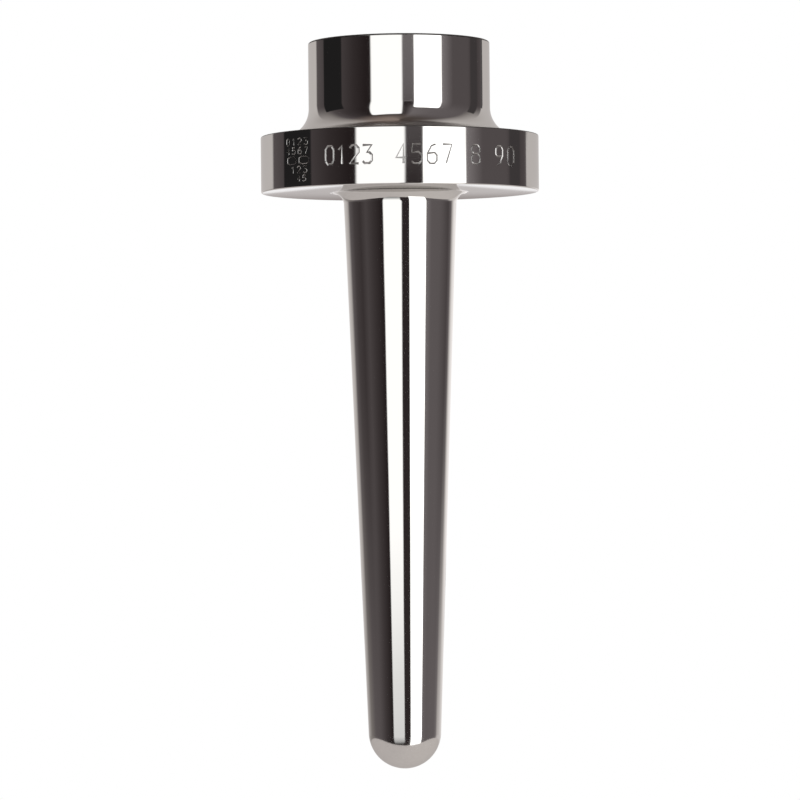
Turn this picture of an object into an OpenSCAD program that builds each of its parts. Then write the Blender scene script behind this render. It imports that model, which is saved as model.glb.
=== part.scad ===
// Lap-joint thermowell turned from one solid bar: a round head over a thick collar,
// and a tapered stem that ends in a half-ball tip.
// The origin is the centre of the gasket face, the underside of the collar.
// +Z runs up the bore and out of the head, and the stem hangs down along -Z.
// All sizes are in millimetres and all angles in degrees.

/* [Stem] */
// Insertion length, from the gasket face down to the end of the tip
insertion_len = 152.4; // [80:0.1:300]
// Diameter of the taper where it would meet the gasket face
root_d = 30; // [26:0.1:34]
// Diameter of the half-ball tip
tip_d = 19.2; // [16:0.1:24]
// Radius of the fillet between the taper and the gasket face
root_fillet_r = 3.2; // [1:0.1:6]

/* [Collar] */
// Diameter of the collar, equal to the raised face of the flange that clamps it
collar_d = 73.5; // [70:0.1:90]
// Thickness of the collar, from the gasket face to the lap face
collar_t = 14.8; // [10:0.1:24]
// Width of the edge break on both rims of the collar
collar_break = 0.3; // [0.1:0.1:1]

/* [Head] */
// Diameter of the head, which passes through the bore of the loose flange
head_d = 48; // [40:0.1:50]
// Height of the head above the lap face
head_h = 24.9; // [20:0.1:60]
// Radius of the fillet between the head and the lap face
head_fillet_r = 7.5; // [3:0.1:8]
// Width of the edge break around the top of the head
head_break = 0.5; // [0.1:0.1:2]

/* [Instrument port] */
// Diameter of the tap drill for the tapered pipe thread
port_d = 18.26; // [14:0.01:24]
// Depth of the port's straight wall below the top of the head
port_depth = 24; // [14:0.1:30]
// Width of the 45 degree countersink at the mouth of the port
port_countersink = 2.1; // [0.5:0.1:3]

/* [Sensor bore] */
// Diameter of the deep bore for the sensor
bore_d = 6.6; // [5:0.1:10]
// Thickness of metal between the end of the bore and the end of the tip
tip_wall = 6.4; // [4:0.1:12]

/* [Drill] */
// Included angle of the drill points at the ends of the port and of the bore
drill_point = 118; // [90:1:140]

/* [Hidden] */

// flats in a full turn for the interpreter's own mesh
turn_steps = 180;
// how far a cutting profile runs past the surface that it opens
overrun = 1;

root_r = root_d / 2;
tip_r = tip_d / 2;
collar_r = collar_d / 2;
head_r = head_d / 2;
port_r = port_d / 2;
bore_r = bore_d / 2;
head_top_z = collar_t + head_h;

// centre of the half-ball tip, and the slope of a cone that leaves it without a step
tip_z = tip_r - insertion_len;
root_reach = norm([root_r, tip_z]);
taper = acos(tip_r / root_reach) - atan2(-tip_z, root_r);

// centre of each fillet, and where the cone touches the root fillet and the tip
head_fillet_c = [head_r, collar_t] + head_fillet_r * [1, 1];
root_fillet_c = [root_r + root_fillet_r * (1 - sin(taper)) / cos(taper), -root_fillet_r];
root_touch = root_fillet_c - root_fillet_r * [cos(taper), -sin(taper)];
tip_touch = [tip_r * cos(taper), tip_z - tip_r * sin(taper)];

// half angle of a drill point, and the height of the point on each drill
half_point = drill_point / 2;
bore_point_h = bore_r / tan(half_point);
port_point_h = (port_r - bore_r) / tan(half_point);
bore_end_z = tip_wall - insertion_len;
port_floor_z = head_top_z - port_depth;

// section of the turned outside, with a straight web across each fillet and a blunt tip
module blank_profile() {
    polygon([
        [0, head_top_z],
        [head_r - head_break, head_top_z],
        [head_r, head_top_z - head_break],
        [head_r, head_fillet_c.y],
        [head_fillet_c.x, collar_t],
        [collar_r - collar_break, collar_t],
        [collar_r, collar_t - collar_break],
        [collar_r, collar_break],
        [collar_r - collar_break, 0],
        [root_fillet_c.x, 0],
        root_touch,
        tip_touch,
        [tip_touch.x, -insertion_len - overrun],
        [0, -insertion_len - overrun]
    ]);
}

// everything around and below the half-ball
module tip_cutter() {
    difference() {
        translate([0, -insertion_len - 2 * overrun])
            square([tip_d, tip_touch.y + insertion_len + 2 * overrun]);
        translate([0, tip_z])
            circle(r = tip_r, $fn = turn_steps);
    }
}

module fillet_cutter(centre, radius) {
    translate(centre)
        circle(r = radius, $fn = turn_steps);
}

// the port, its countersink and drill point, and the deep bore below it
module bore_cutter() {
    polygon([
        [0, bore_end_z],
        [bore_r, bore_end_z + bore_point_h],
        [bore_r, port_floor_z - port_point_h],
        [port_r, port_floor_z],
        [port_r, head_top_z - port_countersink],
        [port_r + port_countersink + overrun, head_top_z + overrun],
        [0, head_top_z + overrun]
    ]);
}

module thermowell() {
    color([0.72, 0.71, 0.69])
        rotate_extrude($fn = turn_steps)
            difference() {
                blank_profile();
                fillet_cutter(head_fillet_c, head_fillet_r);
                fillet_cutter(root_fillet_c, root_fillet_r);
                tip_cutter();
                bore_cutter();
            }
}

thermowell();
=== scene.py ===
# Lap-joint thermowell, turned from one bar and mirror polished.
# It hangs free over a pale floor. Its polish mirrors a dark room with two tall soft boxes, paler walls
# behind the part and a beige table.
# Everything is in metres. The origin is the centre of the gasket face, +Z runs out of the head.
import math

import bpy
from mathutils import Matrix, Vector


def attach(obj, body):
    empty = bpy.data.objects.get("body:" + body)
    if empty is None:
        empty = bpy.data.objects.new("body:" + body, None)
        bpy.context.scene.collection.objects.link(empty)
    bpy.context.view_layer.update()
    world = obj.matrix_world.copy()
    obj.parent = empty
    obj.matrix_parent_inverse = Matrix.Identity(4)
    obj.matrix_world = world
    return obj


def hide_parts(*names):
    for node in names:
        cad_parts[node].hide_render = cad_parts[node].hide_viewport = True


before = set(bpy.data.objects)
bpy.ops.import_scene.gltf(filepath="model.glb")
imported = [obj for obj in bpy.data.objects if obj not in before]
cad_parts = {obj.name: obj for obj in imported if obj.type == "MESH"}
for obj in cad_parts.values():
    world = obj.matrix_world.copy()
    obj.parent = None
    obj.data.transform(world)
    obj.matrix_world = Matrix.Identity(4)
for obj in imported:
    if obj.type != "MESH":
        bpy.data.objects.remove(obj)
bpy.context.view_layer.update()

MM = 0.001

# ---------------------------------------------------------------- sizes of the turned part

INSERTION = 152.4 * MM
ROOT_R = 15.0 * MM
TIP_R = 9.6 * MM
ROOT_FILLET = 3.2 * MM
COLLAR_R = 36.75 * MM
COLLAR_T = 14.8 * MM
COLLAR_BREAK = 0.3 * MM
HEAD_R = 24.0 * MM
HEAD_TOP = COLLAR_T + 24.9 * MM
HEAD_FILLET = 7.5 * MM
HEAD_BREAK = 0.5 * MM
PORT_R = 9.13 * MM
PORT_DEPTH = 24.0 * MM
COUNTERSINK = 2.1 * MM
BORE_R = 3.3 * MM
TIP_WALL = 6.4 * MM
# half the angle of both drill points
HALF_POINT = math.radians(59)

# flat faces round the turned part
FLATS_ROUND = 360

# the pipe thread in the port: 14 turns to the inch, a radius that grows by 1 in 32, and a run-out at its foot
THREAD_PITCH = 25.4 / 14 * MM
THREAD_TAPER = 32
THREAD_ROOT_R = 10.61 * MM
THREAD_FLAT = 0.04 * MM
THREAD_TURNS = 10
THREAD_STEPS = 72
RUN_OUT_STEPS = 54
RUN_OUT = 1.7 * MM

# depth of the marking in the rim of the collar
MARK_DEPTH = 0.28 * MM

# the polished steel, seen face on
STEEL = (0.72, 0.71, 0.69, 1)

# ---------------------------------------------------------------- camera

CAMERA_AT = (-0.00052, -0.896, -0.0549)
CAMERA_ROLL = math.radians(0.52)
LENS = 152.3

camera_data = bpy.data.cameras.new("camera")
camera_data.lens = LENS
camera_data.sensor_width = 36.0
camera_data.clip_start = 0.01
camera = bpy.data.objects.new("camera", camera_data)
bpy.context.scene.collection.objects.link(camera)
camera.location = CAMERA_AT
camera.rotation_euler = (math.radians(90), CAMERA_ROLL, 0)
bpy.context.scene.camera = camera


# ---------------------------------------------------------------- shader maths

class Value:
    """One socket of a shader. Sums on it add their own nodes."""

    def __init__(self, nodes, socket):
        self.nodes, self.socket = nodes, socket

    def maths(self, operation, *others):
        inputs = dict(enumerate((self,) + others))
        return self.nodes.add("Math", {"operation": operation}, inputs)

    def swapped(self, operation, other):
        return self.nodes.add("Math", {"operation": operation}, {0: other, 1: self})

    def __add__(self, other):
        return self.maths("ADD", other)

    __radd__ = __add__

    def __mul__(self, other):
        return self.maths("MULTIPLY", other)

    __rmul__ = __mul__

    def __sub__(self, other):
        return self.maths("SUBTRACT", other)

    def __rsub__(self, other):
        return self.swapped("SUBTRACT", other)

    def __truediv__(self, other):
        return self.maths("DIVIDE", other)

    def __rtruediv__(self, other):
        return self.swapped("DIVIDE", other)

    def __pow__(self, other):
        return self.maths("POWER", other)

    def __abs__(self):
        return self.maths("ABSOLUTE")

    def at_least(self, other):
        return self.maths("MAXIMUM", other)

    def at_most(self, other):
        return self.maths("MINIMUM", other)

    def rise(self, start, end):
        """0 up to start and 1 from end, eased between."""
        settings = {"interpolation_type": "SMOOTHSTEP"}
        return self.nodes.add("MapRange", settings, {"Value": self, "From Min": start, "From Max": end})

    def between(self, start, end, soft):
        """1 from start to end, fading over soft outside each."""
        return self.rise(start - soft, start) * (1 - self.rise(end, end + soft))


class Nodes:
    """The node tree of one material or world."""

    def __init__(self, owner):
        owner.use_nodes = True
        self.tree = owner.node_tree
        self.tree.nodes.clear()

    def add(self, kind, settings=None, inputs=None, output=0):
        """One node of any type: its settings first, then its sockets' values or links."""
        node = self.tree.nodes.new("ShaderNode" + kind)
        for name, setting in (settings or {}).items():
            if name == "stops":
                self.set_stops(node.color_ramp, setting)
            else:
                setattr(node, name, setting)
        for key, value in (inputs or {}).items():
            if isinstance(value, Value):
                self.tree.links.new(value.socket, node.inputs[key])
            else:
                node.inputs[key].default_value = value
        return Value(self, node.outputs[output]) if node.outputs else node

    def set_stops(self, ramp, stops):
        while len(ramp.elements) > 1:
            ramp.elements.remove(ramp.elements[-1])
        for number, (place, colour) in enumerate(stops):
            stop = ramp.elements[0] if number == 0 else ramp.elements.new(place)
            stop.position = place
            stop.color = colour

    def place(self, source="Object"):
        """The point that is shaded, as a vector and as x, y and z."""
        coordinates = self.add("TexCoord", output=source)
        parts = [self.add("SeparateXYZ", None, {0: coordinates}, axis) for axis in "XYZ"]
        return coordinates, parts

    def mix(self, factor, first, second):
        return self.add("Mix", {"data_type": "RGBA"}, {0: factor, 6: first, 7: second}, 2)

    def blend(self, factor, first, second):
        return self.add("MixShader", None, {0: factor, 1: first, 2: second})


def linear(level):
    """Display level from 0 to 255 to the light behind it."""
    part = level / 255
    return part / 12.92 if part <= 0.04045 else ((part + 0.055) / 1.055) ** 2.4


def tone(level, green=6, blue=None):
    """A grey of this level in red, with less green and blue."""
    blue = green if blue is None else blue
    return (linear(level), linear(level - green), linear(level - blue), 1)


def deselect_all():
    bpy.ops.object.select_all(action="DESELECT")


# ---------------------------------------------------------------- the turned form

class Line:
    """A straight stretch of the profile."""

    def __init__(self, start, end):
        self.points = [start, end]
        along = Vector((end[0] - start[0], end[1] - start[1])).normalized()
        self.out = (along[1], -along[0])

    def facing(self, r, z):
        return self.out


class Arc:
    """A round stretch of the profile, bulging outwards (side 1) or hollow (side -1)."""

    def __init__(self, centre, radius, start, end, steps, side):
        self.centre, self.side = centre, side
        self.points = []
        for step in range(steps + 1):
            angle = start + (end - start) * step / steps
            self.points.append((centre[0] + radius * math.cos(angle), centre[1] + radius * math.sin(angle)))

    def facing(self, r, z):
        way = Vector((r - self.centre[0], z - self.centre[1])).normalized() * self.side
        return (way[0], way[1])


def thermowell_profile():
    """The stretches of the profile, from the end of the tip round to the end of the bore."""
    quarter = math.pi / 2
    tip_z = TIP_R - INSERTION
    taper = math.acos(TIP_R / math.hypot(ROOT_R, tip_z)) - math.atan2(-tip_z, ROOT_R)
    root_c = (ROOT_R + ROOT_FILLET * (1 - math.sin(taper)) / math.cos(taper), -ROOT_FILLET)
    head_c = (HEAD_R + HEAD_FILLET, COLLAR_T + HEAD_FILLET)
    # each None is the straight stretch to the next arc
    parts = [
        Arc((0, tip_z), TIP_R, -quarter, -taper, 24, 1),
        None,
        Arc(root_c, ROOT_FILLET, math.pi - taper, quarter, 16, -1),
        None,
        Arc((COLLAR_R - COLLAR_BREAK, COLLAR_BREAK), COLLAR_BREAK, -quarter, 0, 3, 1),
        None,
        Arc((COLLAR_R - COLLAR_BREAK, COLLAR_T - COLLAR_BREAK), COLLAR_BREAK, 0, quarter, 3, 1),
        None,
        Arc(head_c, HEAD_FILLET, 3 * quarter, math.pi, 20, -1),
        None,
        Arc((HEAD_R - HEAD_BREAK, HEAD_TOP - HEAD_BREAK), HEAD_BREAK, 0, quarter, 4, 1),
        None,
    ]
    mouth = PORT_R + COUNTERSINK
    floor_z = HEAD_TOP - PORT_DEPTH
    bore_top = floor_z - (PORT_R - BORE_R) / math.tan(HALF_POINT)
    bore_end = TIP_WALL - INSERTION
    inside = [
        (mouth, HEAD_TOP),
        (PORT_R, HEAD_TOP - COUNTERSINK),
        (PORT_R, floor_z),
        (BORE_R, bore_top),
        (BORE_R, bore_end + BORE_R / math.tan(HALF_POINT)),
        (0.0, bore_end),
    ]
    stretches = []
    for number, part in enumerate(parts):
        if part is None:
            after = parts[number + 1].points[0] if number + 1 < len(parts) else inside[0]
            part = Line(stretches[-1].points[-1], after)
        stretches.append(part)
    stretches += [Line(a, b) for a, b in zip(inside, inside[1:])]
    return stretches


def turn_blank(name, stretches):
    """Draws a ring near the end of the tip and pulls it along the profile, one ring at a time."""
    tiny = 1e-7
    tip, bore_end = stretches[0].points[0], stretches[-1].points[-1]
    rings = [stretches[0].points[1]]
    for stretch in stretches:
        for point in stretch.points:
            if math.dist(point, rings[-1]) > tiny and point[0] > tiny:
                rings.append(point)
    rings = [rings[0]] + [point for point in rings[1:] if point != tip]
    deselect_all()
    r, z = rings[0]
    bpy.ops.mesh.primitive_circle_add(vertices=FLATS_ROUND, radius=r, location=(0, 0, z), fill_type="NOTHING")
    blank = bpy.context.object
    blank.name = name
    bpy.ops.object.transform_apply()
    bpy.ops.object.mode_set(mode="EDIT")
    bpy.ops.mesh.select_mode(type="EDGE")
    bpy.ops.mesh.select_all(action="SELECT")
    for next_r, next_z in rings[1:]:
        bpy.ops.mesh.extrude_edges_move(TRANSFORM_OT_translate={"value": (0, 0, next_z - z)})
        size = next_r / r
        bpy.ops.transform.resize(value=(size, size, 1), center_override=(0, 0, next_z))
        r, z = next_r, next_z
    # the bore ends in a point
    bpy.ops.mesh.extrude_edges_move(TRANSFORM_OT_translate={"value": (0, 0, bore_end[1] - z)})
    bpy.ops.mesh.merge(type="CENTER")
    # and so does the ball, on its axis
    bpy.ops.mesh.select_all(action="DESELECT")
    bpy.ops.mesh.select_non_manifold(extend=False)
    bpy.ops.mesh.extrude_edges_move(TRANSFORM_OT_translate={"value": (0, 0, tip[1] - rings[0][1])})
    bpy.ops.mesh.merge(type="CENTER")
    bpy.ops.mesh.select_all(action="SELECT")
    bpy.ops.mesh.normals_make_consistent(inside=False)
    bpy.ops.object.mode_set(mode="OBJECT")
    return blank


# ---------------------------------------------------------------- cutters

def pipe_tap():
    """The groove of the tapered pipe thread, as a solid to cut with."""
    root_r, flat = THREAD_ROOT_R, THREAD_FLAT
    flank = (root_r - PORT_R) * math.tan(math.radians(30)) + flat
    inner = PORT_R - 0.4 * MM
    foot = HEAD_TOP + 0.8 * MM - THREAD_TURNS * THREAD_PITCH
    section = [(inner, -flank), (PORT_R, -flank), (root_r, -flat), (root_r, flat), (PORT_R, flank), (inner, flank)]
    deselect_all()
    bpy.ops.mesh.primitive_circle_add(vertices=len(section), radius=1 * MM)
    tap = bpy.context.object
    tap.name = "pipe_tap"
    mesh = tap.data
    for vert, (r, rise) in zip(mesh.vertices, section):
        vert.co = (r, 0, foot + rise)
    helix = tap.modifiers.new("helix", "SCREW")
    helix.screw_offset = THREAD_PITCH
    helix.iterations = THREAD_TURNS
    helix.steps = helix.render_steps = THREAD_STEPS
    helix.use_smooth_shade = False
    bpy.ops.object.modifier_apply(modifier=helix.name)
    for vert in mesh.vertices:
        r = math.hypot(vert.co.x, vert.co.y)
        # the taper, and the run-out over the deepest part of a turn
        lift = max(0.0, 1 - vert.index / len(section) / RUN_OUT_STEPS) * RUN_OUT
        size = 1 + ((vert.co.z - HEAD_TOP) / THREAD_TAPER - lift) / r
        vert.co.x *= size
        vert.co.y *= size
    bpy.ops.object.mode_set(mode="EDIT")
    bpy.ops.mesh.select_all(action="SELECT")
    bpy.ops.mesh.fill_holes(sides=len(section))
    bpy.ops.mesh.normals_make_consistent(inside=False)
    bpy.ops.object.mode_set(mode="OBJECT")
    return tap


# strokes of the engraved numbers, in a cell 1 high
CELL_WIDTH = 0.6
STROKES = {
    "0": [[(0, 0.2), (0, 0.8), (0.15, 1), (0.45, 1), (0.6, 0.8), (0.6, 0.2), (0.45, 0), (0.15, 0), (0, 0.2)]],
    "1": [[(0.1, 0.78), (0.32, 1), (0.32, 0)]],
    "2": [[(0, 0.85), (0.15, 1), (0.45, 1), (0.6, 0.85), (0.6, 0.62), (0, 0), (0.6, 0)]],
    "3": [[(0, 1), (0.6, 1), (0.28, 0.6), (0.45, 0.6), (0.6, 0.45), (0.6, 0.15), (0.45, 0), (0.12, 0), (0, 0.12)]],
    "4": [[(0.45, 0), (0.45, 1), (0, 0.3), (0.62, 0.3)]],
    "5": [[(0.57, 1), (0.06, 1), (0, 0.56), (0.4, 0.6), (0.6, 0.45), (0.6, 0.15), (0.45, 0), (0.12, 0), (0, 0.1)]],
    "6": [[(0.52, 1), (0.25, 0.9), (0, 0.5), (0, 0.15), (0.15, 0), (0.45, 0), (0.6, 0.15), (0.6, 0.42),
           (0.45, 0.56), (0.05, 0.52)]],
    "7": [[(0, 1), (0.6, 1), (0.22, 0)]],
    "8": [[(0.15, 0.54), (0, 0.68), (0, 0.86), (0.15, 1), (0.45, 1), (0.6, 0.86), (0.6, 0.68), (0.45, 0.54),
           (0.6, 0.4), (0.6, 0.14), (0.45, 0), (0.15, 0), (0, 0.14), (0, 0.4), (0.15, 0.54), (0.45, 0.54)]],
    "9": [[(0.08, 0), (0.35, 0.1), (0.6, 0.5), (0.6, 0.85), (0.45, 1), (0.15, 1), (0, 0.85), (0, 0.58),
           (0.15, 0.44), (0.55, 0.48)]],
}


def engraving(numbers, start, foot, height, stroke, width, gap):
    """Round cutter paths for a row of numbers on the rim of the collar. start is the angle of the left
    side in degrees, 0 at the front, and foot is the height of the lower edge. A thin stroke is cut less
    deep, so that it stays open to the outside."""
    r = COLLAR_R + stroke / 2 - min(MARK_DEPTH, 0.6 * stroke)
    cutters = []
    for number in numbers:
        for path in STROKES[number]:
            curve = bpy.data.curves.new("stroke", "CURVE")
            curve.dimensions = "3D"
            curve.bevel_depth = stroke / 2
            curve.bevel_resolution = 1
            curve.use_fill_caps = True
            spline = curve.splines.new("POLY")
            spline.points.add(len(path) - 1)
            for point, (across, up) in zip(spline.points, path):
                angle = math.radians(start) + across * width * height / COLLAR_R
                point.co = (r * math.sin(angle), -r * math.cos(angle), foot + up * height, 1)
            cutter = bpy.data.objects.new("stroke", curve)
            bpy.context.scene.collection.objects.link(cutter)
            cutters.append(cutter)
        start += math.degrees((CELL_WIDTH * width + gap) * height / COLLAR_R)
    return cutters


# numbers, start in degrees, foot, height and stroke in mm, and the width and gap of a number, of each row:
# the large numbers,
MARKS = [("0123", -31, 5.4, 4.6, 0.74, 0.85, 0.24), ("4567", -1.5, 5.2, 4.9, 0.56, 0.85, 0.31),
         ("8", 30, 5.2, 4.9, 0.56, 0.85, 0.42), ("90", 42.2, 5.2, 4.9, 0.56, 0.85, 0.4)]
# and the small block to the left of them
MARKS += [("0123", -52.5, 10.9, 1.7, 0.34, 1.2, 0.6), ("4567", -52.5, 8.6, 1.7, 0.34, 1.2, 0.6),
          ("00", -52.0, 6.0, 1.9, 0.34, 3.0, 0.6), ("123", -49.5, 3.7, 1.7, 0.34, 1.2, 0.6),
          ("45", -46.0, 1.6, 1.5, 0.34, 1.2, 0.6)]


def marking():
    """Plain numbers round the front of the collar, as one cutter."""
    strokes = []
    for numbers, start, foot, height, stroke, width, gap in MARKS:
        strokes += engraving(numbers, start, foot * MM, height * MM, stroke * MM, width, gap)
    deselect_all()
    for stroke in strokes:
        stroke.select_set(True)
    bpy.context.view_layer.objects.active = strokes[0]
    bpy.ops.object.convert(target="MESH")
    bpy.ops.object.join()
    return bpy.context.object


def cut(piece, cutter):
    """Takes the cutter's solid out of the piece."""
    deselect_all()
    piece.select_set(True)
    bpy.context.view_layer.objects.active = piece
    difference = piece.modifiers.new("cut", "BOOLEAN")
    difference.operation = "DIFFERENCE"
    difference.solver = "EXACT"
    difference.use_self = True
    difference.object = cutter
    bpy.ops.object.modifier_apply(modifier=difference.name)
    bpy.data.objects.remove(cutter)


# ---------------------------------------------------------------- the body

def true_normals(piece, stretches):
    """Gives the turned faces the exact normals of the profile, so that the polish runs true."""
    nearest, same_way, tiny = 0.03 * MM, 0.95, 1e-9
    mesh = piece.data
    bands = [(a, b, stretch) for stretch in stretches for a, b in zip(stretch.points, stretch.points[1:])]
    normals = [(0.0, 0.0, 0.0)] * len(mesh.loops)
    for face in mesh.polygons:
        centre = face.center
        r, z = math.hypot(centre.x, centre.y), centre.z
        out = (face.normal.x * centre.x + face.normal.y * centre.y) / max(r, tiny)
        best, chosen = nearest, None
        for a, b, stretch in bands:
            if z < min(a[1], b[1]) - best or z > max(a[1], b[1]) + best:
                continue
            if r < min(a[0], b[0]) - best or r > max(a[0], b[0]) + best:
                continue
            length = math.dist(a, b)
            if length < tiny:
                continue
            away = abs((b[0] - a[0]) * (z - a[1]) - (b[1] - a[1]) * (r - a[0])) / length
            facing = stretch.facing((a[0] + b[0]) / 2, (a[1] + b[1]) / 2)
            if away < best and facing[0] * out + facing[1] * face.normal.z > same_way:
                best, chosen = away, stretch
        if chosen is None:
            continue
        round_x, round_y = centre.x / max(r, tiny), centre.y / max(r, tiny)
        for loop in face.loop_indices:
            co = mesh.vertices[mesh.loops[loop].vertex_index].co
            vert_r = math.hypot(co.x, co.y)
            facing = chosen.facing(vert_r, co.z)
            on_axis = vert_r <= 1e-6
            ux, uy = (round_x, round_y) if on_axis else (co.x / vert_r, co.y / vert_r)
            normals[loop] = (facing[0] * ux, facing[0] * uy, facing[1])
    mesh.normals_split_custom_set(normals)


stretches = thermowell_profile()
body = turn_blank("thermowell_body", stretches)
cut(body, pipe_tap())
cut(body, marking())

deselect_all()
body.select_set(True)
bpy.context.view_layer.objects.active = body
bpy.ops.object.shade_smooth_by_angle(angle=math.radians(30))
true_normals(body, stretches)


# ---------------------------------------------------------------- polished steel

# how rough the polish is, and how much rougher the other finishes are
POLISH = 0.05
SATIN = 0.22
BALL_ROUGH = 0.06
EDGE_ROUGH = 0.35
# the gasket face is the smoothest
GASKET_SMOOTH = 0.04
# just outside the root fillet
GASKET_IN_R = 18.3 * MM


def polished_steel():
    """Mirror polish, with the last of the lathe marks and a little waviness left under it."""
    material = bpy.data.materials.new("polished_steel")
    nodes = Nodes(material)
    coordinates, (x, y, z) = nodes.place()
    out = (x ** 2 + y ** 2) ** 0.5

    # the flat faces: the gasket face, the end of the head and the upper face of the collar
    gasket = (1 - abs(z).rise(0.05 * MM, 0.1 * MM)) * out.rise(GASKET_IN_R, GASKET_IN_R + 0.5 * MM)
    end = z.rise(HEAD_TOP - 0.03 * MM, HEAD_TOP - 0.01 * MM)
    lap = z.between(COLLAR_T - 0.01 * MM, COLLAR_T + 0.01 * MM, 0.01 * MM)
    round_faces = 1 - (gasket + end + lap).at_most(1.0)
    # the half ball at the tip
    ball = 1 - z.rise(TIP_R - INSERTION - 2 * MM, TIP_R - INSERTION + 1 * MM)
    # the collar's upper face with the foot of the head's fillet
    at_rim = out.rise(COLLAR_R - 0.4 * MM, COLLAR_R - 0.3 * MM)
    foot = z.between(COLLAR_T - 0.02 * MM, COLLAR_T + 1 * MM, 1.5 * MM) * (1 - at_rim)
    # the engraved numbers, whose grooves get painted shade: a darker base colour
    cut_in = out.between(COLLAR_R - 1 * MM, COLLAR_R - 0.08 * MM, 0.02 * MM)
    marks_with_painted_shade = z.between(1 * MM, COLLAR_T - 1 * MM, 0.2 * MM) * cut_in
    # the broken edges, which get painted dark reflection lines below
    head_edge = z.rise(HEAD_TOP - 0.52 * MM, HEAD_TOP - 0.44 * MM) * out.rise(HEAD_R - 0.6 * MM, HEAD_R - 0.5 * MM)
    rim_edge = z.between(COLLAR_T - 0.2 * MM, COLLAR_T, 0.05 * MM) * at_rim
    painted_dark_edges = (head_edge + rim_edge).at_most(1.0)

    # lathe marks in rings on the round faces, a fine grain on the ball, and waves on all but the gasket face
    rings = nodes.add("CombineXYZ", None, {0: out, 1: 0.0, 2: z})
    marks = nodes.add("TexNoise", None, {"Vector": rings, "Scale": 3000.0, "Detail": 2.0, "Roughness": 0.6})
    grain = nodes.add("TexNoise", None, {"Vector": coordinates, "Scale": 2600.0, "Detail": 3.0, "Roughness": 0.6})
    waves = nodes.add("TexNoise", None, {"Vector": coordinates, "Scale": 60.0, "Detail": 1.0})
    fine = nodes.add("Bump", None, {
        "Strength": round_faces * 0.04, "Distance": 0.00002, "Height": marks + ball * grain})
    bump = nodes.add("Bump", None, {
        "Strength": (1 - gasket) * 0.1, "Distance": 0.0003, "Height": waves, "Normal": fine})

    # less polish reaches the engraved numbers, the broken edges and the foot of the head's fillet, so they are
    # rougher; the numbers' grooves also get a darker base colour, painted shade, and the broken edges a near-black
    # one, painted dark reflection lines
    # painted shade in the grooves of the numbers
    colour = nodes.mix(marks_with_painted_shade, STEEL, (0.46, 0.45, 0.44, 1))
    # painted dark reflection lines: the broken edges get a near-black base colour
    colour = nodes.mix(painted_dark_edges, colour, (0.10, 0.095, 0.09, 1))
    rough = ball * BALL_ROUGH + (foot + end) * SATIN + marks_with_painted_shade * SATIN + painted_dark_edges * EDGE_ROUGH + POLISH
    rough = rough - gasket * GASKET_SMOOTH
    steel = nodes.add("BsdfPrincipled", None, {
        "Base Color": colour, "Metallic": 1.0, "Roughness": rough, "Normal": bump,
        "Specular Tint": (0.85, 0.85, 0.85, 1)})
    nodes.add("OutputMaterial", None, {"Surface": steel})
    return material


body.data.materials.clear()
body.data.materials.append(polished_steel())
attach(body, "root")
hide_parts("thermowell")


# ---------------------------------------------------------------- the room

FLOOR_Z = -0.265
# the ring that carries the two soft boxes
RING_R = 0.82


def hide_from(piece, *rays):
    """Leaves the piece out of what rays of these kinds see."""
    for ray in rays:
        setattr(piece, "visible_" + ray, False)


def unsampled(material):
    """Light is found only by the rays that meet it, so that Light Path tells them apart."""
    material.cycles.emission_sampling = "NONE"
    return material


def around(x, y):
    """Angle round the part in degrees: 0 at the front, positive to the right."""
    return x.maths("ARCTAN2", 0 - y) * math.degrees(1)


# grey of the walls by angle: as the head and the collar see them,
HEAD_WALLS = [(-180, 186), (-131, 184), (-128, 84), (-110, 70), (-78, 64), (-60, 48), (-42, 34), (3, 42), (17, 42),
              (57, 116), (66, 94), (72, 78), (98, 78), (108, 58), (125, 74), (128, 90), (129, 182), (180, 186)]
# level with the stem,
STEM_WALLS = [(-180, 220), (-150, 190), (-139, 172), (-129, 92), (-112, 66), (-92, 54), (-76, 70), (-60, 56),
              (-40, 36), (3, 42), (17, 42), (57, 110), (68, 90), (90, 88), (118, 70), (129, 95), (135, 163),
              (142, 212), (152, 235), (180, 240)]
# towards its foot,
FOOT_WALLS = [(-180, 200), (-143, 140), (-127, 120), (-105, 90), (-82, 83), (-60, 60), (-40, 38), (3, 44), (17, 44),
              (57, 100), (70, 92), (103, 96), (114, 112), (120, 163), (126, 188), (180, 215)]
# and high up
HIGH_WALLS = [(-180, 175), (-150, 170), (-128, 152), (-112, 128), (-98, 78), (-82, 58), (-50, 36), (10, 60),
              (20, 105), (50, 95), (98, 90), (112, 138), (128, 164), (150, 178), (180, 175)]
# where each set of greys takes over from the one below, in degrees above level
WALLS_UP = [(-9.5, -1.5, STEM_WALLS), (2.2, 3.8, HEAD_WALLS), (8, 42, HIGH_WALLS)]
# patches on the walls: from, to and softness round the part and then in height, in degrees, and the grey
WALL_PATCHES = [
    ((-110, -79, 2), (3.6, 24, 0.8), (29, 1)),  # a dark card to the left
    ((104, 116, 3), (3, 28, 3), (58, 4)),  # a darker part of the wall to the right
    ((127, 131.3, 1.2), (4.8, 12, 0.4), (78, 4)),  # the corner behind it
    ((-2, 24, 2), (6.2, 7, 2.8), (106, 5)),  # a pale strip between the soft boxes
]
# edge of the table by angle, in degrees below level
TABLE_EDGE = [(0, 38), (30, 35), (45, 31), (60, 26), (80, 18.5), (100, 14), (115, 12.5), (180, 12.5)]


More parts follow.
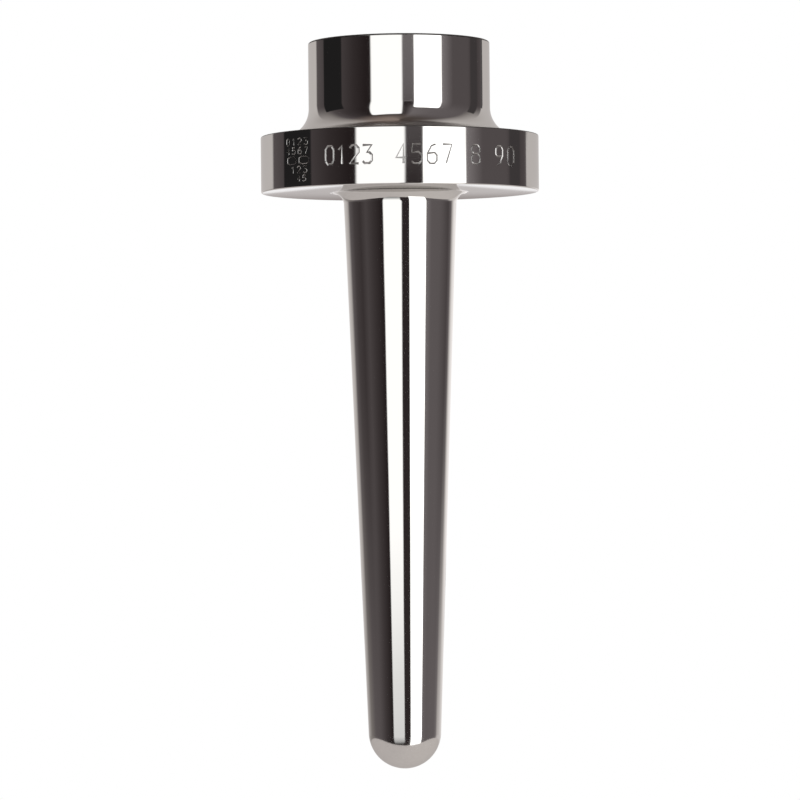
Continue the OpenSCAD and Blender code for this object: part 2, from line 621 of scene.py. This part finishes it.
def room_world():
    """White behind the part; in its polish, the dark room that it stands in."""
    world = bpy.data.worlds.new("room")
    bpy.context.scene.world = world
    nodes = Nodes(world)
    coordinates, (x, y, z) = nodes.place("Generated")
    turn = around(x, y)
    up = z.at_most(1.0).at_least(-1.0).maths("ARCSINE") * math.degrees(1)
    turn_part = turn / 360 + 0.5

    def walls_of(greys):
        """The greys round the room. The pale ones are a little warmer."""
        stops = [((angle + 180) / 360, tone(grey, 6, 6 if grey < 120 else 10)) for angle, grey in greys]
        return nodes.add("ValToRGB", {"stops": stops}, {0: turn_part})

    walls = walls_of(FOOT_WALLS)
    for start, end, greys in WALLS_UP:
        walls = nodes.mix(up.rise(start, end), walls, walls_of(greys))
    ceiling = nodes.mix(turn.rise(-40, 40), tone(128, 14, 22), tone(70, 8, 12))
    walls = nodes.mix(up.rise(55, 85), walls, ceiling)
    for sides, heights, grey in WALL_PATCHES:
        walls = nodes.mix(turn.between(*sides) * up.between(*heights), walls, tone(*grey))
    # dark at the front left, low down
    floor_dark = turn.between(-60, -20, 8) * (1 - up.rise(-45, -8))
    walls = nodes.mix(floor_dark, walls, tone(20, 5))
    # the table, which the polish shows as a beige sheet with a round front edge
    edge_stops = [(angle / 180, (depth / 90, depth / 90, depth / 90, 1)) for angle, depth in TABLE_EDGE]
    edge = nodes.add("ValToRGB", {"stops": edge_stops}, {0: abs(turn) / 180}) * -90
    grain = nodes.add("TexNoise", None, {"Vector": coordinates, "Scale": 9.0, "Detail": 4.0, "Roughness": 0.7})
    sheet = nodes.mix(x.rise(-0.7, 0.7), tone(168, 7, 11), tone(176, 7, 12))
    sheet = nodes.mix((grain - 0.5) * 0.6 + 0.2, sheet, tone(200, 6, 10))
    # the collar's gasket face mirrors a narrow band behind the part, in the same beige, with a white wedge
    near = nodes.mix(x.rise(-0.2, 0.2), tone(167, 7, 10), tone(184, 5, 8))
    near = nodes.mix(up.rise(-3.52, -3.37), near, tone(140, 8, 11))
    wedge = (1 - (up - abs(x) * 5.3).rise(-3.73, -3.70)) * (1 - abs(x).rise(0.042, 0.046))
    near = nodes.mix(wedge, near, tone(228, 3, 5))
    under = y.rise(0.97, 0.985) * up.between(-4.2, -3.1, 0.3)
    walls = nodes.mix(under, walls, near)
    walls = nodes.mix(1 - (up - edge).rise(-0.6, 0.6), walls, sheet)
    # the steel darkens what it mirrors, so the room is that much brighter
    room = nodes.add("VectorMath", {"operation": "DIVIDE"}, {0: walls, 1: STEEL[:3]})
    room = nodes.add("Background", None, {"Color": room, "Strength": 1.0})
    # what lights the floor, and what lies behind the part
    soft = nodes.add("Background", None, {"Color": (1, 1, 1, 1), "Strength": 0.72})
    white = nodes.add("Background", None, {"Color": (1, 1, 1, 1), "Strength": 1.0})
    shown = nodes.blend(nodes.add("LightPath", output="Is Diffuse Ray"), room, soft)
    shown = nodes.blend(nodes.add("LightPath", output="Is Camera Ray"), shown, white)
    nodes.add("OutputWorld", None, {"Surface": shown})
    # as for unsampled materials
    world.cycles.sampling_method = "NONE"


# the left box falls off over its lowest half metre: height, from 0 to 1, and strength
LEFT_LEVELS = [(0.0, 0.0), (0.08, 0.13), (0.2, 0.29), (0.3, 0.49), (0.42, 0.6), (0.54, 0.69), (0.68, 0.8),
               (0.78, 0.86), (0.85, 1.0), (0.92, 1.24), (1.0, 1.42)]
LEFT_FALL = [(place, (level, level, level, 1)) for place, level in LEFT_LEVELS]


def soft_boxes():
    """Two tall soft boxes either side of the camera, on a ring round the part."""
    deselect_all()
    bpy.ops.mesh.primitive_cylinder_add(vertices=256, radius=RING_R, depth=3.2, end_fill_type="NOTHING",
                                        location=(0, 0, 0.5))
    ring = bpy.context.object
    ring.name = "soft_boxes"
    bpy.ops.object.transform_apply()
    material = unsampled(bpy.data.materials.new("soft_boxes"))
    nodes = Nodes(material)
    _, (x, y, z) = nodes.place()
    turn = around(x, y)
    arc = math.radians(RING_R)

    def panel(left, right, bottom, top, corner, soft):
        """1 on a panel with round corners. Its sides are angles, which may change with height."""
        middle, half = (left + right) / 2, (right - left) / 2
        across = (abs(turn - middle) - half) * arc + corner
        rise = abs(z - (bottom + top) / 2) - ((top - bottom) / 2 - corner)
        outside = (across.at_least(0) ** 2 + rise.at_least(0) ** 2) ** 0.5 - corner
        return 1 - outside.rise(-soft / 2, soft / 2)

    # the left box leans, and widens higher up
    left_side = -35.3 - (z - 0.1).at_least(0) * 11
    lean = (z * 17 + 3.0).at_least(-0.6).at_most(4.9) - z.rise(0.075, 0.09)
    left_box = panel(left_side, lean, -0.66, 1.45, 0.13, 0.04)
    # the right box is cut off aslant at its foot
    right_box = panel(18.6, 54.4, -0.98, 0.51, 0.08, 0.03)
    right_box = right_box * (z + 0.765 - (turn - 18.6) * 0.005).rise(-0.01, 0.01)
    left_level = nodes.add("ValToRGB", {"stops": LEFT_FALL}, {0: (z + 0.68) / 0.5})
    glow_left = nodes.add("Emission", None, {"Color": (1, 1, 1, 1), "Strength": left_level})
    glow_right = nodes.add("Emission", None, {"Color": (1, 1, 1, 1), "Strength": 2.2})
    clear = nodes.add("BsdfTransparent")
    shown = nodes.blend(left_box, clear, glow_left)
    shown = nodes.blend(right_box, shown, glow_right)
    nodes.add("OutputMaterial", None, {"Surface": shown})
    ring.data.materials.append(material)
    hide_from(ring, "camera", "diffuse", "shadow", "transmission")


def pale_floor():
    """The floor fades out to the white around it, and is clear from below. The polish mirrors the room
    and not this floor."""
    deselect_all()
    bpy.ops.mesh.primitive_plane_add(size=1.6, location=(0, 0, FLOOR_Z))
    floor = bpy.context.object
    floor.name = "floor"
    bpy.ops.object.transform_apply()
    material = unsampled(bpy.data.materials.new("floor"))
    nodes = Nodes(material)
    _, (x, y, _) = nodes.place()
    out = (x ** 2 + y ** 2) ** 0.5
    clear = nodes.add("BsdfTransparent")
    paper = nodes.add("BsdfDiffuse", None, {"Color": (0.92, 0.915, 0.905, 1)})
    below = nodes.add("NewGeometry", output="Backfacing")
    shown = nodes.blend((out.rise(0.42, 0.76) + below).at_most(1.0), paper, clear)
    nodes.add("OutputMaterial", None, {"Surface": shown})
    floor.data.materials.append(material)
    hide_from(floor, "glossy")


def soft_lamp():
    """One wide lamp overhead, for the shadow on the floor."""
    lamp_data = bpy.data.lights.new("overhead", "AREA")
    lamp_data.size = 1.2
    lamp_data.energy = 9.0
    lamp = bpy.data.objects.new("overhead", lamp_data)
    bpy.context.scene.collection.objects.link(lamp)
    lamp.location = (-0.5, -0.6, 1.2)
    lamp.rotation_euler = (Vector((0, 0, -0.2)) - lamp.location).to_track_quat("-Z", "Y").to_euler()
    hide_from(lamp, "glossy", "camera")


room_world()
soft_boxes()
pale_floor()
soft_lamp()
bpy.context.scene.view_settings.view_transform = "Standard"
